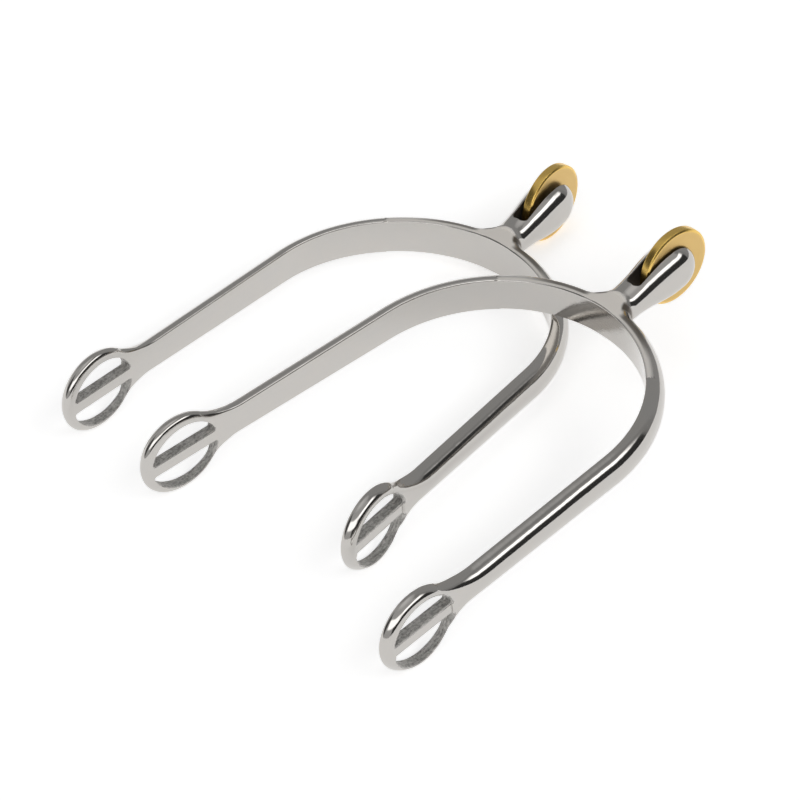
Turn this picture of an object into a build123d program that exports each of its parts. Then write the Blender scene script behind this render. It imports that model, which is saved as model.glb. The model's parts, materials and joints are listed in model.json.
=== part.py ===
"""A pair of riding spurs with smooth rolling discs.

Each spur is one stainless casting, the yoke, which holds the heel band, two arms with strap loops, a short
neck and a fork. A brass disc rolls in the fork on a rivet whose ends are ground flush with the cheeks.
The lower spur lies on its two loops and its disc. The upper spur lies on its two loops, with its heel
resting across one arm of the lower spur.

Each spur is drawn in its own frame: the origin is at the middle of the heel's inner face, +X points back
along the neck, the arms run towards -X, and +Z is up. Lengths are millimetres, angles are degrees.
"""

import os
from math import asin, cos, degrees, radians, sin, sqrt

from build123d import *

# Heel band and arms: an arc around the boot's heel, then a straight arm on each side
HEEL_RADIUS = 39.2
HEEL_HALF_TURN = 86.9
LOOP_DISTANCE = 126.9  # along the inner face, from the heel's middle to a loop's centre
OUTSIDE_ARM_EXTRA = 0.65  # the arm on the outside of the foot is longer, the other one shorter by as much
HEEL_HEIGHT = 11.0
HEEL_THICKNESS = 4.8
MIDDLE_DISTANCE = 66.0  # where the band has its middle height and its arm thickness
MIDDLE_HEIGHT = 9.6
ARM_HEIGHT = 8.2
ARM_THICKNESS = 4.4
ARM_END_THICKNESS = 2.8  # inside the loop, where the arm ends
THINNING_START = 22.0  # before the loop's centre
DOME_FULLNESS = 0.6  # 0.55 makes the band's outer face a half ellipse, more makes it squarer
EDGE_BREAK = 0.35
SECTION_STEP = 7.0

# Strap loops: an oval ring at the end of each arm, with a bar along its middle
LOOP_HALF_LENGTH = 12.2
LOOP_HALF_HEIGHT = 11.4
LOOP_DROP = 0.3  # the ring's centre hangs this far below the arm's middle
LOOP_THICKNESS = 3.6
LOOP_OUTER_ROUND = 2.1
LOOP_INNER_ROUND = 1.2
SLOT_HALF_LENGTH = 10.2
SLOT_HALF_HEIGHT = 9.05
SLOT_SHIFT = 0.8  # the slots' oval sits this far from the ring's centre towards the arm
SLOT_DROP = 1.05  # and this far below the arm's middle
SLOT_CORNER_ROUND = 0.8
BAR_HEIGHT = 3.4
BAR_THICKNESS = 3.1
BAR_DROP = 0.8
BAR_STEP_MARGIN = 0.2  # the step down to the bar's outer face is wider than the bar by this much each side
THROAT_ROUND_TOP = 6.0
THROAT_ROUND_BOTTOM = 11.0
THROAT_LENGTH = 20.0
THROAT_SHY = 0.6  # the throat plate stays this far inside the arm, so that only its flare shows

# Neck and fork
NECK_RISE = 6.6
DISC_DISTANCE = 25.1  # from the heel's inner face to the disc's axis
CHEEK_DISTANCE = 24.3  # from the heel's inner face to the middle of the cheeks' rounding
NECK_HALF_WIDTH = 4.7
CHEEK_HALF_WIDTH = 5.5
NECK_HALF_HEIGHT = 4.6
CHEEK_HALF_HEIGHT = 6.9
FORK_SLOT_WIDTH = 4.3
FORK_SLOT_END = 11.3  # from the heel's inner face to the closed end of the slot
FORK_SLOT_ROUND = 1.5
FORK_STATIONS = [  # distance along the neck, half width and half height of the section there
    (1.0, 10.2, 4.9),
    (4.0, 8.4, 4.85),
    (5.8, 6.2, 4.75),
    (7.8, 5.0, NECK_HALF_HEIGHT),
    (10.5, NECK_HALF_WIDTH, 4.85),
    (14.0, 4.95, 5.6),
    (18.0, 5.3, 6.5),
    (22.8, CHEEK_HALF_WIDTH, CHEEK_HALF_HEIGHT),
]
CHEEK_END_SHARES = [0.15, 0.4, 0.62, 0.8, 0.92, 0.985]  # places of the sections that round off the cheeks' end
CHEEK_END_FULLNESS = 0.8  # 1 rounds the end as much across as it does up, less keeps it broader

# Rolling disc and rivet
DISC_RADIUS = 10.7
DISC_THICKNESS = 2.6
DISC_EDGE_ROUND = 0.55
RIVET_RADIUS = 1.6
RIVET_CLEARANCE = 0.05

# How the two spurs lie
UPPER_OFFSET_X = -15.4
UPPER_OFFSET_Y = -47.6
UPPER_TURN = -8.7
UPPER_PITCH = 4.48  # leaves 0.15 between the upper heel band and the lower arm that it rests on

HEEL_LENGTH = HEEL_RADIUS * radians(HEEL_HALF_TURN)
NECK_DIRECTION = Vector(cos(radians(NECK_RISE)), 0, sin(radians(NECK_RISE)))
DISC_CENTRE = NECK_DIRECTION * DISC_DISTANCE


def inner_point(distance, side):
    """Point and outward direction on the band's inner face, at a distance along it from the heel's middle."""
    turn = min(distance, HEEL_LENGTH) / HEEL_RADIUS
    outward = Vector(cos(turn), side * sin(turn), 0)
    point = Vector(-HEEL_RADIUS, 0, 0) + outward * HEEL_RADIUS
    straight = max(0.0, distance - HEEL_LENGTH)
    return point + Vector(-sin(turn), side * cos(turn), 0) * straight, outward


def graded(distance, places):
    """Value at a distance along the band, in straight steps between (distance, value) places."""
    for (start, first), (end, second) in zip(places, places[1:]):
        if distance <= end:
            return first + (second - first) * (distance - start) / (end - start)
    return places[-1][1]


def band_height(distance):
    """Height of the band, tallest at the heel."""
    return graded(distance, [(0, HEEL_HEIGHT), (MIDDLE_DISTANCE, MIDDLE_HEIGHT), (LOOP_DISTANCE, ARM_HEIGHT)])


def band_thickness(distance, arm_length):
    """Thickness of the band, greatest at the heel and thinned to the loop at the arm's end."""
    places = [
        (0, HEEL_THICKNESS),
        (MIDDLE_DISTANCE, ARM_THICKNESS),
        (arm_length - THINNING_START, ARM_THICKNESS),
        (arm_length - LOOP_HALF_LENGTH, ARM_END_THICKNESS),
    ]
    return graded(distance, places)


def section_plane(distance, side):
    """Plane across the band: its X points outward and its Y points up."""
    point, outward = inner_point(distance, side)
    return Plane(origin=point, x_dir=outward, z_dir=outward.cross(Vector(0, 0, 1)))


def band_section(height, thickness):
    """Flat inner face with broken edges, and a domed outer face."""
    top = height / 2
    reach = DOME_FULLNESS * thickness
    rise = DOME_FULLNESS * top
    outline = [
        Line((0, EDGE_BREAK - top), (0, top - EDGE_BREAK)),
        Line((0, top - EDGE_BREAK), (EDGE_BREAK, top)),
        Bezier((EDGE_BREAK, top), (reach, top), (thickness, rise), (thickness, 0)),
        Bezier((thickness, 0), (thickness, -rise), (reach, -top), (EDGE_BREAK, -top)),
        Line((EDGE_BREAK, -top), (0, EDGE_BREAK - top)),
    ]
    return make_face(Curve() + outline)


def band(arm_lengths):
    """Heel band and both arms, lofted from one loop to the other."""
    sections = []
    for side in (1, -1):
        arm_length = arm_lengths[side]
        end = arm_length - LOOP_HALF_LENGTH
        steps = round(end / SECTION_STEP)
        places = [end * step / steps for step in range(steps + 1)]
        if side == 1:
            places.reverse()
        else:
            places.remove(0)
        for place in places:
            section = band_section(band_height(place), band_thickness(place, arm_length))
            sections.append(section_plane(place, side) * section)
    return loft(sections)


def throat_edge(body, to_arm, up):
    """Edge where the top (up 1) or bottom (up -1) of the throat plate meets the ring."""
    uprights = body.edges().filter_by(Axis.Z).filter_by(lambda edge: up * edge.center().Y > 0)
    beside_arm = uprights.filter_by(lambda edge: 0 < to_arm * edge.center().X < LOOP_HALF_LENGTH)
    return beside_arm.sort_by(lambda edge: to_arm * edge.center().X)[-1]


def strap_loop(arm_length, side):
    """Oval ring with a bar along its middle, and the flared throat that joins it to the arm."""
    centre, outward = inner_point(arm_length, side)
    plane = Plane(origin=centre, x_dir=Vector(0, 0, 1).cross(outward), z_dir=outward)
    to_arm = -side
    throat_end = LOOP_HALF_LENGTH + THROAT_LENGTH
    throat_plate = Rectangle(throat_end, band_height(arm_length) - 2 * THROAT_SHY)
    ring = Pos(0, -LOOP_DROP) * Ellipse(LOOP_HALF_LENGTH, LOOP_HALF_HEIGHT)
    body = extrude(ring + Pos(to_arm * throat_end / 2, 0) * throat_plate, LOOP_THICKNESS)
    for up, throat_round in ((1, THROAT_ROUND_TOP), (-1, THROAT_ROUND_BOTTOM)):
        body = fillet(throat_edge(body, to_arm, up), throat_round)
    for face, edge_round in ((-1, LOOP_OUTER_ROUND), (0, LOOP_INNER_ROUND)):
        outline = body.faces().sort_by(Axis.Z)[face].edges()
        rim = outline.filter_by(lambda edge: to_arm * edge.center().X < throat_end - THROAT_SHY)
        body = fillet(rim, edge_round)
    return plane * (body - strap_slots(to_arm))


def strap_slots(to_arm):
    """The two half-oval slots above and below the bar, and the step down to the bar's outer face."""
    hole = Pos(to_arm * SLOT_SHIFT, -SLOT_DROP) * Ellipse(SLOT_HALF_LENGTH, SLOT_HALF_HEIGHT)
    hole -= Pos(0, -BAR_DROP) * Rectangle(4 * LOOP_HALF_LENGTH, BAR_HEIGHT)
    hole = fillet(hole.vertices(), SLOT_CORNER_ROUND)
    step = Box(2 * SLOT_HALF_LENGTH - 1, BAR_HEIGHT + 2 * BAR_STEP_MARGIN, LOOP_THICKNESS)
    step = Pos(to_arm * SLOT_SHIFT, -BAR_DROP, BAR_THICKNESS + LOOP_THICKNESS / 2) * step
    return extrude(hole, 2 * LOOP_THICKNESS, both=True) + step


def fork_body():
    """Neck that flares into the band and swells into two rounded cheeks, before the slot is cut."""
    stations = list(FORK_STATIONS)
    for share in CHEEK_END_SHARES:
        left = sqrt(1 - share**2)
        distance = CHEEK_DISTANCE + share * CHEEK_HALF_HEIGHT
        stations.append((distance, CHEEK_HALF_WIDTH * left**CHEEK_END_FULLNESS, CHEEK_HALF_HEIGHT * left))
    sections = []
    for distance, half_width, half_height in stations:
        plane = Plane(origin=NECK_DIRECTION * distance, x_dir=(0, 1, 0), z_dir=NECK_DIRECTION)
        sections.append(plane * Ellipse(half_width, half_height))
    return loft(sections)


def in_neck_frame(shape):
    """Turns a shape drawn along +X to lie along the neck's direction."""
    return Rot(0, -NECK_RISE, 0) * shape


def fork_slot():
    """Slot for the disc: open above, below and behind, with a rounded closed end."""
    length = CHEEK_DISTANCE + 2 * CHEEK_HALF_HEIGHT - FORK_SLOT_END
    slot = Pos(FORK_SLOT_END + length / 2, 0, 0) * Box(length, FORK_SLOT_WIDTH, 4 * CHEEK_HALF_HEIGHT)
    closed_end = slot.faces().sort_by(Axis.X)[0].edges().filter_by(Axis.Z)
    return in_neck_frame(fillet(closed_end, FORK_SLOT_ROUND))


def cross_pin(radius):
    """Cylinder across the fork, on the disc's axis."""
    return Pos(DISC_CENTRE) * Rot(90, 0, 0) * Cylinder(radius, 4 * CHEEK_HALF_WIDTH)


def rolling_disc():
    """Smooth disc with rounded rim and a bore that runs on the rivet."""
    disc = Cylinder(DISC_RADIUS, DISC_THICKNESS)
    disc = fillet(disc.edges(), DISC_EDGE_ROUND)
    disc -= Cylinder(RIVET_RADIUS + RIVET_CLEARANCE, 2 * DISC_THICKNESS)
    return Pos(DISC_CENTRE) * Rot(90, 0, 0) * disc


def spur(outside):
    """The three pieces of one spur. outside is 1 or -1, the side of the longer arm."""
    arm_lengths = {side: LOOP_DISTANCE + OUTSIDE_ARM_EXTRA * side * outside for side in (1, -1)}
    cheeks = fork_body()
    boot_space = extrude(Pos(-HEEL_RADIUS, 0) * Circle(HEEL_RADIUS), 4 * HEEL_HEIGHT, both=True)
    yoke = band(arm_lengths) + (cheeks - boot_space)
    for side in (1, -1):
        yoke += strap_loop(arm_lengths[side], side)
    yoke -= fork_slot()
    yoke -= cross_pin(RIVET_RADIUS)
    return {"yoke": yoke, "rivet": cross_pin(RIVET_RADIUS) & cheeks, "rowel": rolling_disc()}


def lying_pitch():
    """Pitch at which a spur rests on its two loops and its disc."""
    loop_centre, _ = inner_point(LOOP_DISTANCE, 1)
    drop = LOOP_HALF_HEIGHT + LOOP_DROP - (DISC_RADIUS - DISC_CENTRE.Z)
    return -degrees(asin(drop / (DISC_CENTRE.X - loop_centre.X)))


def laid_on_surface(pieces, turned):
    """Lowers a turned spur until its lowest point is at height zero."""
    lowest = min((turned * shape).bounding_box().min.Z for shape in pieces.values())
    return Pos(0, 0, -lowest) * turned


def pair_locations(spurs):
    """Where each spur lies, with the origin under the middle of the pair."""
    lower = laid_on_surface(spurs["lower"], Rot(0, -lying_pitch(), 0))
    turned = Pos(UPPER_OFFSET_X, UPPER_OFFSET_Y, 0) * Rot(0, 0, UPPER_TURN) * Rot(0, -UPPER_PITCH, 0)
    upper = laid_on_surface(spurs["upper"], turned)
    locations = {"lower": lower, "upper": upper}
    boxes = [(locations[name] * shape).bounding_box() for name in spurs for shape in spurs[name].values()]
    middle_x = (min(box.min.X for box in boxes) + max(box.max.X for box in boxes)) / 2
    middle_y = (min(box.min.Y for box in boxes) + max(box.max.Y for box in boxes)) / 2
    return {name: Pos(-middle_x, -middle_y, 0) * location for name, location in locations.items()}


spurs = {"lower": spur(1), "upper": spur(-1)}
locations = pair_locations(spurs)
os.makedirs("parts", exist_ok=True)
for spur_name, pieces in spurs.items():
    for piece_name, shape in pieces.items():
        export_step(locations[spur_name] * shape, f"parts/{spur_name}_{piece_name}.step")
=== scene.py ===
import json
from math import cos, degrees, hypot, radians, sin

import bpy
import numpy as np
from mathutils import Matrix, Vector


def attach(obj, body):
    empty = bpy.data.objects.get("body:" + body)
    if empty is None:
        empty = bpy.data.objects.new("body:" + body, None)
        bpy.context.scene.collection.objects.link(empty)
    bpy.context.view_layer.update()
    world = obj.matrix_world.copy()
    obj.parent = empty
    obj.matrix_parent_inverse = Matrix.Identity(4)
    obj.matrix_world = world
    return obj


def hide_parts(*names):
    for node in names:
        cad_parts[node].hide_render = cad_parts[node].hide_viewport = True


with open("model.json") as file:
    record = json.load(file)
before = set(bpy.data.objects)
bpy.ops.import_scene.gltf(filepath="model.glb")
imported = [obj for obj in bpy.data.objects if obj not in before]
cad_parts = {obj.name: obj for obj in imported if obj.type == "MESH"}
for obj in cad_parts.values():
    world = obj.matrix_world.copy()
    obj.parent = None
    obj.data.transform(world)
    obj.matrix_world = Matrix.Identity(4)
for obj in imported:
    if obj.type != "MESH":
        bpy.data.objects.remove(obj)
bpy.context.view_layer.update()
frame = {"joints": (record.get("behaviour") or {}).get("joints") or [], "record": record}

# Each spur is shaped in its own frame, in millimetres: the origin is at the middle of the heel's inner face,
# +X points back along the neck, the arms run towards -X and +Z is up. The sizes are the CAD model's. Only the
# rounds are finer, and the throat's top round is fuller.
MM = 0.001
HEEL_RADIUS = 39.2
HEEL_HALF_TURN = radians(86.9)
HEEL_LENGTH = HEEL_RADIUS * HEEL_HALF_TURN
LOOP_DISTANCE = 126.9
OUTSIDE_ARM_EXTRA = 0.65
HEEL_HEIGHT = 11.0
HEEL_THICKNESS = 4.8
MIDDLE_DISTANCE = 66.0
MIDDLE_HEIGHT = 9.6
ARM_HEIGHT = 8.2
ARM_THICKNESS = 4.4
DOME_POWER = 2.15  # exponent of the superellipse of the band's outer face
FORK_POWER = 2.0  # and of the fork's cross section
EDGE_ROUND = 0.65

LOOP_HALF_LENGTH = 12.2
LOOP_HALF_HEIGHT = 11.4
LOOP_DROP = 0.3
LOOP_THICKNESS = 3.6
LOOP_DOME_WIDTH = 2.4
LOOP_INNER_ROUND = 1.7
LOOP_BLEND_START = 24.0  # before the loop's centre, where the arm's section starts to turn into the loop's
LOOP_BLEND_END = 11.0
INNER_ROUND_START = 15.0  # before the loop's centre, where the inner face's edges start to round more
INNER_ROUND_END = 8.0
SLOT_HALF_LENGTH = 10.2
SLOT_HALF_HEIGHT = 9.05
SLOT_SHIFT = 0.8
SLOT_DROP = 1.05
SLOT_CORNER_ROUND = 0.8
SLOT_RIM_ROUND = 0.3
SLOT_OUTER_RIM_ROUND = 0.5
SLOT_OUTER_RIM_START = 1.2  # outward from the inner face, where the slot's rim starts to round more
SLOT_OUTER_RIM_END = 2.6
BAR_HEIGHT = 3.4
BAR_THICKNESS = 3.1
BAR_DROP = 0.8
BAR_STEP_MARGIN = 0.2
BAR_STEP_END = 0.5  # the step down to the bar stops this far short of the slots' ends
THROAT_ROUND_TOP = 20.0
THROAT_ROUND_BOTTOM = 11.0
THROAT_PASSES = 30

NECK_RISE = radians(6.6)
CHEEK_DISTANCE = 24.3
NECK_HALF_WIDTH = 4.7
CHEEK_HALF_WIDTH = 5.5
NECK_HALF_HEIGHT = 4.6
CHEEK_HALF_HEIGHT = 6.9
NECK_END = 8.0  # along the neck, where it starts to swell into the cheeks
CHEEK_START = 22.5
CHEEK_EDGE_WIDTH = 5.4  # how far in from the side outline the cheek's face starts to round over
ROOT_ROUND_TOP = 4.4
ROOT_ROUND_BELOW = 2.0
ROOT_ROUND_RISE = 4.5
WEB_SLOPE = -0.1
WEB_LENGTH = 6.0
FORK_SLOT_WIDTH = 4.3
FORK_SLOT_END = 11.3
FORK_SLOT_ROUND = 1.5
FORK_SLOT_RIM_ROUND = 0.25

DISC_RADIUS = 10.7
DISC_THICKNESS = 2.6
RIVET_RADIUS = 1.6
RIVET_CLEARANCE = 0.05

FAR_AWAY = 50.0


def smooth(value, low, high):
    """0 below low, 1 above high, and a smooth step between them."""
    share = np.clip((value - low) / (high - low), 0, 1)
    return share * share * (3 - 2 * share)


def joined(a, b, radius):
    """Union of two distance fields with a concave round between them."""
    round_part = np.hypot(np.maximum(radius - a, 0), np.maximum(radius - b, 0))
    return np.maximum(radius, np.minimum(a, b)) - round_part


def common(a, b, radius):
    """Intersection of two distance fields with a convex round between them."""
    round_part = np.hypot(np.maximum(radius + a, 0), np.maximum(radius + b, 0))
    return np.minimum(-radius, np.maximum(a, b)) + round_part


def ellipse(u, v, half_u, half_v):
    """Distance to an ellipse, close to exact near its edge."""
    level = np.hypot(u / half_u, v / half_v) + 1e-9
    return level * (level - 1) / (np.hypot(u / half_u**2, v / half_v**2) + 1e-9)


def domed(edge_share, depth_share, edge_width, depth, power):
    """Distance to a superellipse whose axes are edge_width and depth."""
    level = (edge_share**power + depth_share**power) ** (1 / power) + 1e-9
    slope = np.hypot(edge_share ** (power - 1) / edge_width, depth_share ** (power - 1) / depth)
    slope = slope * level ** (1 - power)
    return (level - 1) / np.maximum(slope, 1 / FAR_AWAY)


def half_height(distance):
    """Half of the band's height, at a distance along it from the heel's middle."""
    knots = [0, MIDDLE_DISTANCE, LOOP_DISTANCE]
    return np.interp(distance, knots, [HEEL_HEIGHT / 2, MIDDLE_HEIGHT / 2, ARM_HEIGHT / 2])


def along_band(x, y):
    """Distance along the band's inner face from the heel's middle, and distance outward from that face."""
    across = np.abs(y)
    end_x = HEEL_RADIUS * (cos(HEEL_HALF_TURN) - 1)
    end_y = HEEL_RADIUS * sin(HEEL_HALF_TURN)
    run = (across - end_y) * cos(HEEL_HALF_TURN) - (x - end_x) * sin(HEEL_HALF_TURN)
    off = (x - end_x) * cos(HEEL_HALF_TURN) + (across - end_y) * sin(HEEL_HALF_TURN)
    turned = HEEL_RADIUS * np.arctan2(across, x + HEEL_RADIUS)
    straight = run > 0
    distance = np.where(straight, HEEL_LENGTH + run, turned)
    outward = np.where(straight, off, np.hypot(x + HEEL_RADIUS, across) - HEEL_RADIUS)
    return distance, outward


def loop_oval(along, z):
    """Side outline of the strap loop, with along measured from the loop's centre."""
    return ellipse(along, z + LOOP_DROP, LOOP_HALF_LENGTH, LOOP_HALF_HEIGHT)


def throat(along, z, radius, up):
    """Concave round between the arm's edge and the loop, above (up 1) or below (up -1) the arm."""
    centre_along = -LOOP_HALF_LENGTH - radius / 2
    for _ in range(THROAT_PASSES):
        centre_z = up * (half_height(LOOP_DISTANCE + centre_along) + radius)
        centre_along -= radius - float(loop_oval(centre_along, centre_z))
    off_along = along - centre_along
    off_z = z - centre_z
    reach = hypot(centre_along, centre_z + LOOP_DROP)
    to_loop = (-centre_along / reach, -(centre_z + LOOP_DROP) / reach)
    past_arm_side = off_along > 0
    before_loop_side = up * (off_along * to_loop[1] - off_z * to_loop[0]) > 0
    beside_arm = up * z > 0
    between = past_arm_side & before_loop_side & beside_arm
    return np.where(between, radius - np.hypot(off_along, off_z), FAR_AWAY)


def side_outline(along, z, half):
    """Outline of arm and loop, seen square to the arm's face."""
    strip = np.maximum(np.abs(z) - half, along)
    outline = np.minimum(strip, loop_oval(along, z))
    outline = np.minimum(outline, throat(along, z, THROAT_ROUND_TOP, 1))
    return np.minimum(outline, throat(along, z, THROAT_ROUND_BOTTOM, -1))


def strap_slots(along, z):
    """The two half-oval slots, negative inside them."""
    oval = ellipse(along + SLOT_SHIFT, z + SLOT_DROP, SLOT_HALF_LENGTH, SLOT_HALF_HEIGHT)
    return common(oval, BAR_HEIGHT / 2 - np.abs(z + BAR_DROP), SLOT_CORNER_ROUND)


def bar_relief(along, outward, z):
    """The bar is thinner than the loop: this is the space on its outer side, negative inside."""
    side = np.maximum(
        np.abs(along + SLOT_SHIFT) - SLOT_HALF_LENGTH + BAR_STEP_END,
        np.abs(z + BAR_DROP) - BAR_HEIGHT / 2 - BAR_STEP_MARGIN,
    )
    return np.maximum(side, BAR_THICKNESS - outward)


def neck_place(x, z):
    """Distance along the tilted neck, and height above its middle line."""
    return x * cos(NECK_RISE) + z * sin(NECK_RISE), z * cos(NECK_RISE) - x * sin(NECK_RISE)


def fork(x, y, z):
    """Neck and cheeks, before the slot is cut."""
    back, up = neck_place(x, z)
    swell = smooth(back, NECK_END, CHEEK_START)
    tall = NECK_HALF_HEIGHT + (CHEEK_HALF_HEIGHT - NECK_HALF_HEIGHT) * swell
    wide = NECK_HALF_WIDTH + (CHEEK_HALF_WIDTH - NECK_HALF_WIDTH) * swell
    sides = np.abs(up) - tall
    end = np.hypot(back - CHEEK_DISTANCE, up) - CHEEK_HALF_HEIGHT
    outline = np.where(back < CHEEK_DISTANCE, sides, end)
    edge_width = np.minimum(tall, CHEEK_EDGE_WIDTH)
    edge_share = np.maximum(0, 1 + outline / edge_width)
    return domed(edge_share, np.abs(y) / wide, edge_width, wide, FORK_POWER)


def fork_slot(x, y, z):
    """Space for the disc, with a rounded closed end, negative inside."""
    back, _ = neck_place(x, z)
    end = FORK_SLOT_END - back
    side = np.abs(y) - FORK_SLOT_WIDTH / 2
    return common(end, side, FORK_SLOT_ROUND)


def web_cap(outward, z, half):
    """Keeps the neck's root level with the band's top and bottom edges."""
    free = np.maximum(0, outward - WEB_LENGTH)
    return np.abs(z) - half - WEB_SLOPE * np.maximum(outward, 0) - free


def yoke_parts(x, y, z, longer_side):
    """Distance fields that make up the yoke."""
    distance, outward = along_band(x, y)
    arm = LOOP_DISTANCE + OUTSIDE_ARM_EXTRA * longer_side * np.sign(y)
    along = distance - arm
    half = half_height(distance)
    to_loop = smooth(along, -LOOP_BLEND_START, -LOOP_BLEND_END)
    edge_width = half + (LOOP_DOME_WIDTH - half) * to_loop
    thickness = np.interp(distance, [0, MIDDLE_DISTANCE], [HEEL_THICKNESS, ARM_THICKNESS])
    thickness = thickness + (LOOP_THICKNESS - thickness) * to_loop
    outline = side_outline(along, z, half)
    edge_share = np.maximum(0, 1 + outline / edge_width)
    band = domed(edge_share, np.maximum(outward, 0) / thickness, edge_width, thickness, DOME_POWER)
    to_inner_round = smooth(along, -INNER_ROUND_START, -INNER_ROUND_END)
    inner_round = EDGE_ROUND + (LOOP_INNER_ROUND - EDGE_ROUND) * to_inner_round
    near_heel = distance < HEEL_LENGTH / 2
    neck = fork(x, y, z)
    root_round = ROOT_ROUND_BELOW + (ROOT_ROUND_TOP - ROOT_ROUND_BELOW) * smooth(z, 0, ROOT_ROUND_RISE)
    root = joined(band, neck, root_round)
    root = common(root, web_cap(outward, z, half), EDGE_ROUND)
    outside = np.where(near_heel, root, band)
    return {
        "outside": outside,
        "inner_round": inner_round,
        "inner_face": -outward,
        "strap_slots": -strap_slots(along, z),
        "bar_relief": -bar_relief(along, outward, z),
        "fork_slot": -fork_slot(x, y, z),
        # distance from the crease between band and neck, where shade is painted
        "crease_shade": np.where(near_heel, band - neck, FAR_AWAY),
        "web": np.where(near_heel, web_cap(outward, z, half), -FAR_AWAY),
        "distance": distance,
        "outward": outward,
    }


def yoke(x, y, z, longer_side):
    """Distance to the yoke's surface, negative inside the metal."""
    parts = yoke_parts(x, y, z, longer_side)
    shape = common(parts["outside"], parts["inner_face"], parts["inner_round"])
    outer_side = smooth(parts["outward"], SLOT_OUTER_RIM_START, SLOT_OUTER_RIM_END)
    slot_rim = SLOT_RIM_ROUND + (SLOT_OUTER_RIM_ROUND - SLOT_RIM_ROUND) * outer_side
    shape = common(shape, parts["strap_slots"], slot_rim)
    shape = common(shape, parts["bar_relief"], SLOT_RIM_ROUND)
    return common(shape, parts["fork_slot"], FORK_SLOT_RIM_ROUND)


# The mesh grid follows the band: along it, outward from its inner face, and up as a share of its half height.
GRID_STRAIGHT = 8.0  # nearer to the heel's middle than this, the grid runs straight back along the neck
GRID_TURNED = 14.0
GRID_BAND_DEPTH = 5.4
GRID_FORK_REACH = 33.5
GRID_FORK_SPAN = 20.0
GRID_LOOP_START = LOOP_DISTANCE - 21.0
GRID_LOOP_END = LOOP_DISTANCE + LOOP_HALF_LENGTH + 1.2
GRID_OVERLAP = 0.5

# Runs of grid values as (start, end, step), finer where the shape is finer
GRID_ALONG = (
    (0.14, GRID_TURNED, 0.3),
    (GRID_TURNED, GRID_LOOP_START, 0.9),
    (GRID_LOOP_START, GRID_LOOP_END, 0.28),
)
GRID_OUTWARD = (
    (-0.33, 0.45, 0.11),
    (0.45, GRID_BAND_DEPTH, 0.24),
    (GRID_BAND_DEPTH, GRID_FORK_REACH, 0.3),
)
GRID_UP = ((0.035, 0.84, 0.07), (0.84, 1.04, 0.03), (1.04, 3.5, 0.07))

SETTLING_PASSES = 4  # times that the mesh's points are moved onto the surface
LEAST_SLOPE = 0.25
LONGEST_MOVE = 0.2


def grid_place(distance, outward, rise):
    """Point in the spur's frame for a place in the mesh grid."""
    side = np.sign(distance)
    distance = np.abs(distance)
    turn = np.minimum(distance, HEEL_LENGTH) / HEEL_RADIUS
    straight = np.maximum(distance - HEEL_LENGTH, 0)
    face_x = HEEL_RADIUS * (np.cos(turn) - 1) - np.sin(turn) * straight
    face_y = HEEL_RADIUS * np.sin(turn) + np.cos(turn) * straight
    lean = turn * smooth(distance, GRID_STRAIGHT, GRID_TURNED)
    x = face_x + outward * np.cos(lean)
    y = side * (face_y + outward * np.sin(lean))
    return x, y, rise * half_height(distance)


def steps(runs):
    """Grid values from a list of (start, end, step) runs, each starting where the last one ended."""
    values = []
    for start, end, step in runs:
        count = max(1, round((end - start) / step))
        values += [start + (end - start) * i / count for i in range(count)]
    values.append(runs[-1][1])
    return np.array(values)


def yoke_grid():
    """Grid values along the band, outward and up."""
    half_along = steps(GRID_ALONG)
    half_up = steps(GRID_UP)
    along = np.concatenate([-half_along[::-1], half_along])
    up = np.concatenate([-half_up[::-1], half_up])
    return along, steps(GRID_OUTWARD), up


def surface_cells(values):
    """Cells that the zero level crosses, and its mean place in each, in grid steps."""
    inside = values < 0
    corners = np.array([(i, j, k) for i in (0, 1) for j in (0, 1) for k in (0, 1)])
    shape = np.array(values.shape) - 1
    count = np.zeros(shape, np.int8)
    for i, j, k in corners:
        count += inside[i : i + shape[0], j : j + shape[1], k : k + shape[2]]
    mixed = (count > 0) & (count < 8)
    cells = np.argwhere(mixed)
    total = np.zeros((len(cells), 3))
    hits = np.zeros(len(cells))
    for first in corners:
        for axis in range(3):
            if first[axis]:
                continue
            second = first.copy()
            second[axis] = 1
            value_1 = values[tuple((cells + first).T)]
            value_2 = values[tuple((cells + second).T)]
            crossed = (value_1 < 0) != (value_2 < 0)
            share = value_1[crossed] / (value_1[crossed] - value_2[crossed])
            total[crossed] += first + share[:, None] * (second - first)
            hits[crossed] += 1
    index = np.full(shape, -1, np.int64)
    index[mixed] = np.arange(len(cells))
    return index, cells + total / hits[:, None]


def surface_quads(values, index):
    """One quad around each grid edge that the zero level crosses, facing out of a left-handed grid."""
    inside = values < 0
    quads = []
    for axis in range(3):
        low = [slice(None)] * 3
        high = [slice(None)] * 3
        low[axis] = slice(0, -1)
        high[axis] = slice(1, None)
        nodes = np.argwhere(inside[tuple(low)] != inside[tuple(high)])
        step_1 = np.eye(3, dtype=int)[(axis + 1) % 3]
        step_2 = np.eye(3, dtype=int)[(axis + 2) % 3]
        around = [nodes, nodes - step_1, nodes - step_1 - step_2, nodes - step_2]
        quad = np.stack([index[tuple(cell.T)] for cell in around], axis=1)
        leaves = inside[tuple(nodes.T)]
        quad[leaves] = quad[leaves][:, ::-1]
        quads.append(quad)
    return np.concatenate(quads)


def gradient(field, points, step=0.02):
    """Gradient of a distance field at points, by central differences."""
    slopes = []
    for axis in range(3):
        shift = np.zeros(3)
        shift[axis] = step
        ahead = field(*(points + shift).T)
        behind = field(*(points - shift).T)
        slopes.append((ahead - behind) / (2 * step))
    return np.stack(slopes, axis=1)


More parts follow.
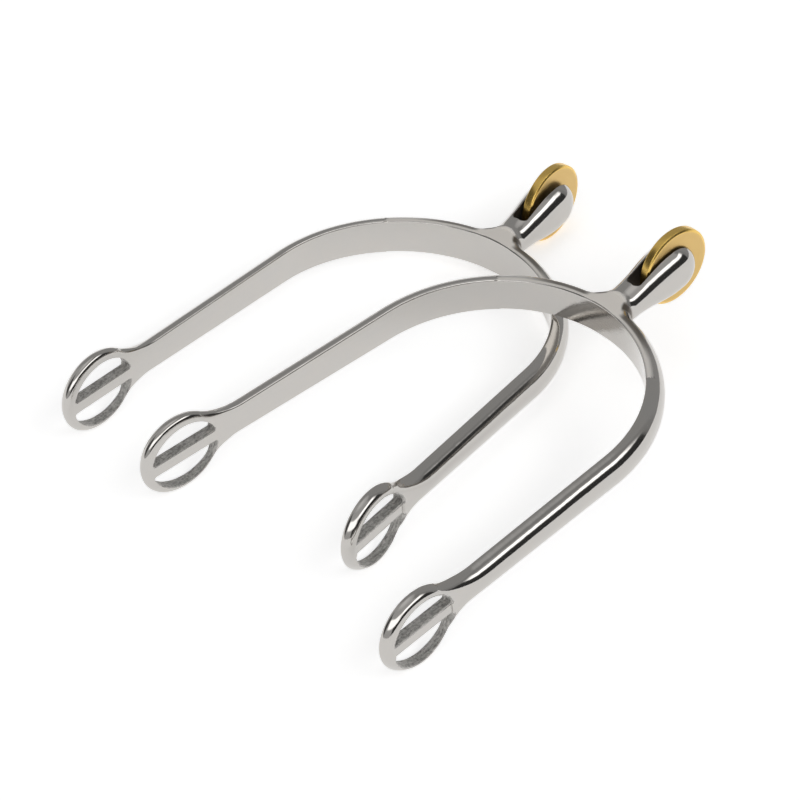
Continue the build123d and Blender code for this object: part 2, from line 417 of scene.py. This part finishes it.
def yoke_mesh(longer_side):
    """Points, quads and normals of one yoke, in millimetres in its own frame."""

    def field(x, y, z):
        return yoke(x, y, z, longer_side)

    along, outward, up = yoke_grid()
    values = np.full((len(along), len(outward), len(up)), FAR_AWAY)
    band_nodes = outward <= GRID_BAND_DEPTH + GRID_OVERLAP
    fork_nodes = np.abs(along) <= GRID_FORK_SPAN
    for along_part, outward_part in ((np.full(len(along), True), band_nodes), (fork_nodes, ~band_nodes)):
        place = np.meshgrid(along[along_part], outward[outward_part], up, indexing="ij")
        values[np.ix_(along_part, outward_part)] = field(*grid_place(*place))
    index, cells = surface_cells(values)
    quads = surface_quads(values, index)
    grid = [np.interp(cells[:, i], np.arange(len(line)), line) for i, line in enumerate((along, outward, up))]
    points = np.stack(grid_place(*grid), axis=1)
    for _ in range(SETTLING_PASSES):
        slope = gradient(field, points)
        length = np.maximum((slope**2).sum(axis=1), LEAST_SLOPE)
        move = slope * (field(*points.T) / length)[:, None]
        points -= np.clip(move, -LONGEST_MOVE, LONGEST_MOVE)
    normals = gradient(field, points)
    normals /= np.linalg.norm(normals, axis=1)[:, None]
    return points, quads, normals


def near(value, reach):
    """1 on a surface whose distance is value, 0 beyond reach from it."""
    return 1 - smooth(np.abs(value), reach / 3, reach)


def spur_frame(name):
    """The spur's own frame in the row frame, from its mount and its disc's joint."""
    record = frame["record"]
    heel = next(mount for mount in record["mounts"] if mount["name"] == f"{name}_heel_band")
    spin = next(joint for joint in frame["joints"] if joint["name"] == f"{name}_rowel_spin")
    back = -Vector(heel["axis"]).normalized()
    side = Vector(spin["axis"]).normalized()
    up = back.cross(side).normalized()
    matrix = Matrix((back, side, up)).transposed().to_4x4()
    matrix.translation = Vector(heel["pos_m"])
    return matrix


def new_piece(name, points, quads, matrix, attributes, normals=None):
    """A mesh object in the row frame, in metres, with values stored on its points."""
    mesh = bpy.data.meshes.new(name)
    turn = np.array(matrix.to_3x3())
    placed = points * MM @ turn.T + np.array(matrix.translation)
    mesh.vertices.add(len(placed))
    mesh.vertices.foreach_set("co", placed.astype(np.float32).ravel())
    mesh.loops.add(quads.size)
    mesh.loops.foreach_set("vertex_index", quads.astype(np.int32).ravel())
    mesh.polygons.add(len(quads))
    mesh.polygons.foreach_set("loop_start", np.arange(0, quads.size, 4, dtype=np.int32))
    mesh.update(calc_edges=True)
    mesh.validate()
    mesh.polygons.foreach_set("use_smooth", np.ones(len(mesh.polygons), bool))
    for attribute_name, value in attributes.items():
        kind = "FLOAT_VECTOR" if value.ndim == 2 else "FLOAT"
        attribute = mesh.attributes.new(attribute_name, kind, "POINT")
        key = "vector" if value.ndim == 2 else "value"
        attribute.data.foreach_set(key, value.astype(np.float32).ravel())
    if normals is not None:
        mesh.normals_split_custom_set_from_vertices((normals @ turn.T).tolist())
    piece = bpy.data.objects.new(name, mesh)
    bpy.context.scene.collection.objects.link(piece)
    return piece


# How far each finish and each painted shade reaches from the surface or edge that it belongs to
INNER_FACE_REACH = 0.22
SIDE_REACH = 0.25
SLOT_WALL_REACH = 0.45
FORK_SLOT_REACH = 0.3
WEB_REACH = 0.4
CREASE_SHADE_REACH = 2.2
CREASE_SHADE_TOP_REACH = 0.2

# Painted shade: a dark line painted on the band's outer top edge beside the neck
SHADE_START = (5.0, 7.0)  # along the band from the heel's middle
SHADE_END = (14.0, 24.0)
SHADE_OUTWARD = (0.8, 1.4)
SHADE_BELOW_TOP = (0.5, 1.4)
SHADE_SHARE = 0.8


def edge_shade(distance, outward, z):
    """1 on the band's outer top edge beside the neck, 0 away from it."""
    beside_neck = smooth(distance, *SHADE_START) * (1 - smooth(distance, *SHADE_END))
    below_top = half_height(distance) - z
    return beside_neck * smooth(outward, *SHADE_OUTWARD) * (1 - smooth(below_top, *SHADE_BELOW_TOP))


def make_yoke(name, longer_side):
    """The cast yoke of one spur, with where it is flat, rough or matte, and where shade is painted in the
    crease and the fork's slot, stored on its points.
    """
    points, quads, normals = yoke_mesh(longer_side)
    parts = yoke_parts(*points.T, longer_side)
    distance, outward = parts["distance"], parts["outward"]
    on_side = 1 - near(parts["inner_face"], SIDE_REACH)
    below_web = 1 - near(parts["web"], CREASE_SHADE_TOP_REACH)
    crease_shade = near(parts["crease_shade"], CREASE_SHADE_REACH) * below_web * on_side
    finish = {
        "flat": near(parts["inner_face"], INNER_FACE_REACH),
        "rough": near(parts["strap_slots"], SLOT_WALL_REACH) * on_side,
        # painted shade in the crease between band and neck, and a painted dark line along the band's top edge
        "crease_shade": np.maximum(crease_shade, SHADE_SHARE * edge_shade(distance, outward, points[:, 2])),
        # painted shade inside the fork's slot
        "fork_slot_shade": near(parts["fork_slot"], FORK_SLOT_REACH),
        "matte": near(parts["web"], WEB_REACH) * on_side,
        "grain": np.stack([distance * np.sign(points[:, 1]), outward, points[:, 2]], axis=1),
    }
    return new_piece(f"{name}_yoke_cast", points, quads, spur_frame(name), finish, normals)


def lathe(profile, turns):
    """Points and quads of a profile of (radius, place along the axis) pairs, turned about the Y axis."""
    profile = np.array(profile)
    angle = np.arange(turns) * 2 * np.pi / turns
    radius = profile[:, 0][:, None]
    x = radius * np.cos(angle)
    z = radius * np.sin(angle)
    y = np.broadcast_to(profile[:, 1][:, None], x.shape)
    points = np.stack([x, y, z], axis=2).reshape(-1, 3)
    quads = []
    count = len(profile)
    for i in range(count):
        row = np.arange(turns)
        after = (row + 1) % turns
        below = i * turns
        above = ((i + 1) % count) * turns
        quads.append(np.stack([below + row, below + after, above + after, above + row], axis=1))
    return points, np.concatenate(quads)


def arc_profile(centre, radius, start, end, count):
    """Points of an arc in the profile plane, angles in degrees from the radial direction."""
    places = []
    for i in range(count + 1):
        angle = radians(start + (end - start) * i / count)
        places.append((centre[0] + radius * cos(angle), centre[1] + radius * sin(angle)))
    return places


DISC_TURNS = 224
DISC_BEVEL = 0.55
DISC_ROUND = 0.18
DISC_FACE_START = 0.4  # outward from the bore's edge
DISC_FACE_END = 1.0  # inward from the rim
DISC_FACE_RINGS = 12
DISC_ROUND_INSET = 0.1
RIM_ROUND = 0.3
RIM_ROUND_DROP = 0.45
BORE_ROUND = 0.15
SATIN_FADE = 0.25


def disc_profile():
    """Section of the disc: flat faces, a narrow bevel and a slightly rounded rim."""
    half = DISC_THICKNESS / 2
    bore = RIVET_RADIUS + RIVET_CLEARANCE
    upper = [(bore, half - BORE_ROUND)]
    upper += arc_profile((bore + BORE_ROUND, half - BORE_ROUND), BORE_ROUND, 180, 90, 4)
    face = np.linspace(bore + DISC_FACE_START, DISC_RADIUS - DISC_FACE_END, DISC_FACE_RINGS)
    upper += [(radius, half) for radius in face]
    bevel_start = DISC_RADIUS - DISC_BEVEL - DISC_ROUND_INSET
    upper += arc_profile((bevel_start, half - DISC_ROUND), DISC_ROUND, 90, 45, 3)
    upper += arc_profile((DISC_RADIUS - RIM_ROUND, half - RIM_ROUND_DROP), RIM_ROUND, 45, 8, 4)
    lower = [(radius, -place) for radius, place in reversed(upper)]
    return upper + [(DISC_RADIUS, 0.0)] + lower


def make_disc(name, shift):
    """The brass disc, in the fork's slot and shifted sideways within its play."""
    points, quads = lathe(disc_profile(), DISC_TURNS)
    radius = np.hypot(points[:, 0], points[:, 2])
    face_edge = DISC_RADIUS - DISC_BEVEL
    on_face = 1 - smooth(radius, face_edge - SATIN_FADE, face_edge)
    grain = np.stack([radius, points[:, 1], np.arctan2(points[:, 2], points[:, 0])], axis=1)
    finish = {"satin": on_face, "grain": grain}
    points = points + np.array([0, shift, 0])
    return new_piece(f"{name}_rowel_disc", points, quads, disc_frame(name), finish)


def disc_frame(name):
    """The spur's own frame, moved to the disc's centre."""
    matrix = spur_frame(name)
    spin = next(joint for joint in frame["joints"] if joint["name"] == f"{name}_rowel_spin")
    matrix.translation = Vector(spin["pos_m"])
    return matrix


RIVET_TURNS = 64
RIVET_INSET = 0.02
RIVET_END_ROUND = 0.12
RIVET_END_RINGS = (0.001, 0.02, 0.5, 1.0)


def make_rivet(name):
    """The rivet across the fork, its ends ground level with the cheeks."""
    half = CHEEK_HALF_WIDTH - RIVET_INSET
    end = [(radius, half) for radius in RIVET_END_RINGS]
    end += arc_profile((RIVET_RADIUS - RIVET_END_ROUND, half - RIVET_END_ROUND), RIVET_END_ROUND, 90, 0, 4)
    other_end = [(radius, -place) for radius, place in reversed(end)]
    points, quads = lathe(end + other_end, RIVET_TURNS)
    finish = {"satin": np.zeros(len(points)), "grain": points}
    return new_piece(f"{name}_rivet_pin", points, quads, disc_frame(name), finish)


# Materials


class Nodes:
    """Short ways to add nodes to one node tree."""

    def __init__(self, tree):
        self.tree = tree
        tree.nodes.clear()

    def add(self, kind, **settings):
        node = self.tree.nodes.new(kind)
        for key, value in settings.items():
            setattr(node, key, value)
        return node

    def link(self, source, target):
        self.tree.links.new(source, target)

    def feed(self, socket, value):
        if isinstance(value, bpy.types.NodeSocket):
            self.link(value, socket)
        else:
            socket.default_value = value

    def attribute(self, name, output="Fac"):
        return self.add("ShaderNodeAttribute", attribute_name=name).outputs[output]

    def maths(self, operation, first, second=0.0):
        node = self.add("ShaderNodeMath", operation=operation)
        self.feed(node.inputs[0], first)
        self.feed(node.inputs[1], second)
        return node.outputs[0]

    def times(self, first, second):
        return self.maths("MULTIPLY", first, second)

    def plus(self, first, second):
        return self.maths("ADD", first, second)

    def bump(self, height, shader):
        """Relief of a height given in millimetres."""
        node = self.add("ShaderNodeBump")
        node.inputs["Strength"].default_value = 1.0
        node.inputs["Distance"].default_value = MM
        self.link(height, node.inputs["Height"])
        self.link(node.outputs[0], shader.inputs["Normal"])

    def noise(self, vector, scale, detail, roughness):
        node = self.add("ShaderNodeTexNoise")
        self.link(vector, node.inputs["Vector"])
        node.inputs["Scale"].default_value = scale
        node.inputs["Detail"].default_value = detail
        node.inputs["Roughness"].default_value = roughness
        return node.outputs["Fac"]

    def stretched(self, vector, scale):
        node = self.add("ShaderNodeMapping")
        self.link(vector, node.inputs["Vector"])
        node.inputs["Scale"].default_value = scale
        return node.outputs["Vector"]

    def between(self, share, low, high):
        """Number from low to high by share."""
        node = self.add("ShaderNodeMapRange")
        self.feed(node.inputs["Value"], share)
        self.feed(node.inputs["To Min"], low)
        self.feed(node.inputs["To Max"], high)
        return node.outputs["Result"]

    def step(self, value, low, high):
        """0 below low, 1 above high, and a smooth step between them."""
        node = self.add("ShaderNodeMapRange", interpolation_type="SMOOTHSTEP")
        self.link(value, node.inputs["Value"])
        node.inputs["From Min"].default_value = low
        node.inputs["From Max"].default_value = high
        return node.outputs["Result"]

    def mixed(self, share, first, second):
        """Colour from first to second by share."""
        node = self.add("ShaderNodeMix", data_type="RGBA")
        self.feed(node.inputs[0], share)
        self.feed(node.inputs[6], first)
        self.feed(node.inputs[7], second)
        return node.outputs[2]


def metal(name):
    """A new material with its nodes and its metal shader."""
    material = bpy.data.materials.new(name)
    material.use_nodes = True
    nodes = Nodes(material.node_tree)
    shader = nodes.add("ShaderNodeBsdfPrincipled")
    output = nodes.add("ShaderNodeOutputMaterial")
    nodes.link(shader.outputs[0], output.inputs[0])
    shader.inputs["Metallic"].default_value = 1.0
    return material, nodes, shader


POLISHED_COLOUR = (0.52, 0.508, 0.49, 1)
WARM_COLOUR = (0.545, 0.52, 0.49, 1)
ROUGH_COLOUR = (0.27, 0.262, 0.25, 1)
PALE_ROUGH_COLOUR = (0.70, 0.685, 0.66, 1)
# Painted shade: the two near-black colours below are painted into the crease beside the neck and into the
# fork's slot
CREASE_SHADE_COLOUR = (0.17, 0.15, 0.13, 1)
FORK_SLOT_SHADE_COLOUR = (0.10, 0.092, 0.085, 1)
MATTE_COLOUR = (0.94, 0.91, 0.87, 1)

# Heights of the steel's relief, in millimetres
BUFFING_DEPTH = 0.006
WAVE_DEPTH = 0.08
SLOT_WALL_DEPTH = 0.4
FILE_MARK_SHARE = 0.8  # of the cast grain's height
PIT_DEPTH = 0.06


def steel_material():
    """Polished cast stainless steel: rough slot walls, a matte neck root, and painted shade in the creases and
    the fork's slot.
    """
    material, nodes, shader = metal("polished_stainless")
    grain = nodes.attribute("grain", "Vector")
    flat = nodes.attribute("flat")
    rough = nodes.attribute("rough")
    crease_shade = nodes.attribute("crease_shade")
    fork_slot_shade = nodes.attribute("fork_slot_shade")
    matte = nodes.attribute("matte")
    buffed = nodes.noise(nodes.stretched(grain, (0.14, 2.2, 2.2)), scale=2.2, detail=4, roughness=0.65)
    cloudy = nodes.noise(grain, scale=0.16, detail=3, roughness=0.5)
    cast = nodes.noise(grain, scale=1.5, detail=6, roughness=0.7)
    file_marks = nodes.noise(nodes.stretched(grain, (0.3, 1.5, 0.3)), scale=1.6, detail=3, roughness=0.6)

    colour = nodes.mixed(cloudy, POLISHED_COLOUR, WARM_COLOUR)
    colour = nodes.mixed(matte, colour, MATTE_COLOUR)
    streaks = nodes.step(nodes.plus(cast, nodes.times(file_marks, 0.7)), 0.62, 1.05)
    colour = nodes.mixed(rough, colour, nodes.mixed(streaks, ROUGH_COLOUR, PALE_ROUGH_COLOUR))
    # Painted shade: darkens the crease beside the neck, a dark line on the band's top edge, and the fork's
    # slot
    colour = nodes.mixed(crease_shade, colour, CREASE_SHADE_COLOUR)
    colour = nodes.mixed(fork_slot_shade, colour, FORK_SLOT_SHADE_COLOUR)
    nodes.link(colour, shader.inputs["Base Color"])

    roughness = nodes.between(flat, nodes.between(cloudy, 0.06, 0.12), nodes.between(buffed, 0.08, 0.2))
    roughness = nodes.between(matte, roughness, 0.8)
    roughness = nodes.between(rough, roughness, nodes.between(cast, 0.4, 0.65))
    roughness = nodes.between(crease_shade, roughness, 0.5)
    roughness = nodes.between(fork_slot_shade, roughness, 0.6)
    nodes.link(roughness, shader.inputs["Roughness"])

    fine = nodes.times(buffed, nodes.times(flat, BUFFING_DEPTH))
    wavy = nodes.times(cloudy, WAVE_DEPTH)
    coarse_height = nodes.plus(cast, nodes.times(file_marks, FILE_MARK_SHARE))
    coarse = nodes.times(coarse_height, nodes.times(rough, SLOT_WALL_DEPTH))
    pits = nodes.times(cast, nodes.times(matte, PIT_DEPTH))
    nodes.bump(nodes.plus(nodes.plus(fine, wavy), nodes.plus(coarse, pits)), shader)
    return material


BRASS_RIM_COLOUR = (0.86, 0.58, 0.16, 1)
BRASS_FACE_COLOUR = (0.62, 0.42, 0.15, 1)
PALE_BRASS_FACE_COLOUR = (0.70, 0.49, 0.20, 1)
BRASS_RING_DEPTH = 0.015


def brass_material():
    """Brass disc: polished rim, turned satin faces."""
    material, nodes, shader = metal("brass_disc")
    grain = nodes.attribute("grain", "Vector")
    satin = nodes.attribute("satin")
    rings = nodes.noise(nodes.stretched(grain, (3.0, 1.0, 0.25)), scale=3, detail=4, roughness=0.65)
    cloudy = nodes.noise(nodes.stretched(grain, (0.3, 0.3, 1.0)), scale=1, detail=3, roughness=0.5)
    face = nodes.mixed(cloudy, BRASS_FACE_COLOUR, PALE_BRASS_FACE_COLOUR)
    nodes.link(nodes.mixed(satin, BRASS_RIM_COLOUR, face), shader.inputs["Base Color"])
    rim_roughness = nodes.between(cloudy, 0.2, 0.3)
    face_roughness = nodes.between(rings, 0.26, 0.42)
    nodes.link(nodes.between(satin, rim_roughness, face_roughness), shader.inputs["Roughness"])
    nodes.bump(nodes.times(rings, nodes.times(satin, BRASS_RING_DEPTH)), shader)
    return material


RIVET_COLOUR = (0.50, 0.49, 0.475, 1)
PALE_RIVET_COLOUR = (0.58, 0.565, 0.545, 1)


def rivet_material():
    """Rivet steel, ground and polished with the cheeks."""
    material, nodes, shader = metal("rivet_steel")
    grain = nodes.attribute("grain", "Vector")
    cloudy = nodes.noise(grain, scale=0.9, detail=3, roughness=0.5)
    colour = nodes.mixed(cloudy, RIVET_COLOUR, PALE_RIVET_COLOUR)
    nodes.link(colour, shader.inputs["Base Color"])
    nodes.link(nodes.between(cloudy, 0.1, 0.18), shader.inputs["Roughness"])
    return material


steel = steel_material()
brass = brass_material()
rivet_steel = rivet_material()

LONGER_SIDE = {"lower": 1, "upper": -1}
DISC_SHIFT = {"lower": 0.35, "upper": -0.4}  # sideways, within the disc's play in its slot
for spur_name, longer in LONGER_SIDE.items():
    cast_yoke = make_yoke(spur_name, longer)
    cast_yoke.data.materials.append(steel)
    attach(cast_yoke, f"{spur_name}_spur")
    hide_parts(f"{spur_name}_yoke")
    disc = make_disc(spur_name, DISC_SHIFT[spur_name])
    disc.data.materials.append(brass)
    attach(disc, f"{spur_name}_disc")
    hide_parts(f"{spur_name}_rowel")
    pin = make_rivet(spur_name)
    pin.data.materials.append(rivet_steel)
    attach(pin, f"{spur_name}_spur")
    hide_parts(f"{spur_name}_rivet")


# Floor, light and camera

FLOOR_SIZE = 3.0
FLOOR_COLOUR = (0.9, 0.9, 0.9, 1)
FLOOR_ROUGHNESS = 0.9
FLOOR_GLOW = 0.5


def make_floor():
    """Plain white table."""
    mesh = bpy.data.meshes.new("floor")
    half = FLOOR_SIZE / 2
    corners = [(-half, -half, 0), (half, -half, 0), (half, half, 0), (-half, half, 0)]
    mesh.from_pydata(corners, [], [(0, 1, 2, 3)])
    floor = bpy.data.objects.new("floor", mesh)
    bpy.context.scene.collection.objects.link(floor)
    material = bpy.data.materials.new("white_table")
    material.use_nodes = True
    shader = material.node_tree.nodes["Principled BSDF"]
    shader.inputs["Base Color"].default_value = FLOOR_COLOUR
    shader.inputs["Roughness"].default_value = FLOOR_ROUGHNESS
    shader.inputs["Specular IOR Level"].default_value = 0.0
    shader.inputs["Emission Color"].default_value = (1, 1, 1, 1)
    shader.inputs["Emission Strength"].default_value = FLOOR_GLOW
    mesh.materials.append(material)


class Sky(Nodes):
    """World nodes that place patches of light by azimuth and elevation, in degrees."""

    def __init__(self, tree):
        super().__init__(tree)
        direction = self.add("ShaderNodeTexCoord").outputs["Generated"]
        split = self.add("ShaderNodeSeparateXYZ")
        self.link(direction, split.inputs[0])
        turn = self.maths("ARCTAN2", split.outputs["Y"], split.outputs["X"])
        self.azimuth = self.times(turn, degrees(1))
        self.elevation = self.times(self.maths("ARCSINE", split.outputs["Z"]), degrees(1))

    def span(self, value, low, high, soft):
        """1 from low to high, and 0 further than soft outside them."""
        rise = self.step(value, low - soft, low)
        fall = self.step(value, high + soft, high)
        return self.times(rise, fall)

    def patch(self, azimuths, elevations, soft_across, soft_up):
        """1 inside a patch of the sky, and 0 further than its softness outside it."""
        across = self.span(self.azimuth, *azimuths, soft_across)
        upward = self.span(self.elevation, *elevations, soft_up)
        return self.times(across, upward)


def grey(level):
    return (level, level, level, 1)


WALL_LEVEL = 0.5
ZENITH_LEVEL = 0.75
ZENITH_START = (62, 84)
TABLE_LEVEL = 0.95
HORIZON = (-1.5, 0.5)
SKY_PATCHES = (  # azimuths, elevations, softness across and up in degrees, and brightness
    ((-30, 75), (0, 60), (12, 8), 0.36),  # grey wall behind the spurs
    ((-50, -30), (0, 60), (8, 8), 0.3),  # and its darker end
    ((-135, -42), (0, 26), (8, 6), 0.045),  # black flag on the right
    ((-102, -54), (33, 45), (20, 3), 2.3),  # soft box above the flag
    ((-180, -122), (24, 42), (18, 6), 2.0),  # soft box near the camera
    ((118, 160), (8, 44), (8, 6), 0.08),  # dark corner on the left
)


def make_world():
    """A grey light tent with two soft boxes and two dark patches, and a white table below the horizon."""
    world = bpy.data.worlds.new("studio")
    world.use_nodes = True
    sky = Sky(world.node_tree)
    background = sky.add("ShaderNodeBackground")
    output = sky.add("ShaderNodeOutputWorld")
    sky.link(background.outputs[0], output.inputs[0])
    level = sky.mixed(sky.step(sky.elevation, *ZENITH_START), grey(WALL_LEVEL), grey(ZENITH_LEVEL))
    for azimuths, elevations, softness, brightness in SKY_PATCHES:
        level = sky.mixed(sky.patch(azimuths, elevations, *softness), level, grey(brightness))
    level = sky.mixed(sky.step(sky.elevation, *HORIZON), grey(TABLE_LEVEL), level)
    sky.link(level, background.inputs["Color"])
    background.inputs["Strength"].default_value = 1.0
    bpy.context.scene.world = world


CAMERA_AZIMUTH = radians(-49.66)
CAMERA_ELEVATION = radians(40.05)
CAMERA_DISTANCE = 1.2843
CAMERA_TARGET = Vector((-0.0147, -0.0032, 0.0151))
CAMERA_ROLL = radians(-2.16)
CAMERA_LENS = 231.2
CAMERA_REACH = 20


def make_camera():
    """Long lens, looking down over the arms' ends."""
    level = cos(CAMERA_ELEVATION)
    towards_camera = Vector((sin(CAMERA_AZIMUTH) * level, -cos(CAMERA_AZIMUTH) * level, sin(CAMERA_ELEVATION)))
    right = Vector((0, 0, 1)).cross(towards_camera).normalized()
    up = towards_camera.cross(right)
    turned_right = right * cos(CAMERA_ROLL) + up * sin(CAMERA_ROLL)
    turned_up = up * cos(CAMERA_ROLL) - right * sin(CAMERA_ROLL)
    camera = bpy.data.cameras.new("camera")
    camera.lens = CAMERA_LENS
    camera.sensor_width = 36
    camera.clip_end = CAMERA_REACH
    holder = bpy.data.objects.new("camera", camera)
    matrix = Matrix((turned_right, turned_up, towards_camera)).transposed().to_4x4()
    matrix.translation = CAMERA_TARGET + towards_camera * CAMERA_DISTANCE
    holder.matrix_world = matrix
    bpy.context.scene.collection.objects.link(holder)
    bpy.context.scene.camera = holder


make_floor()
make_world()
make_camera()
bpy.context.scene.view_settings.view_transform = "Standard"
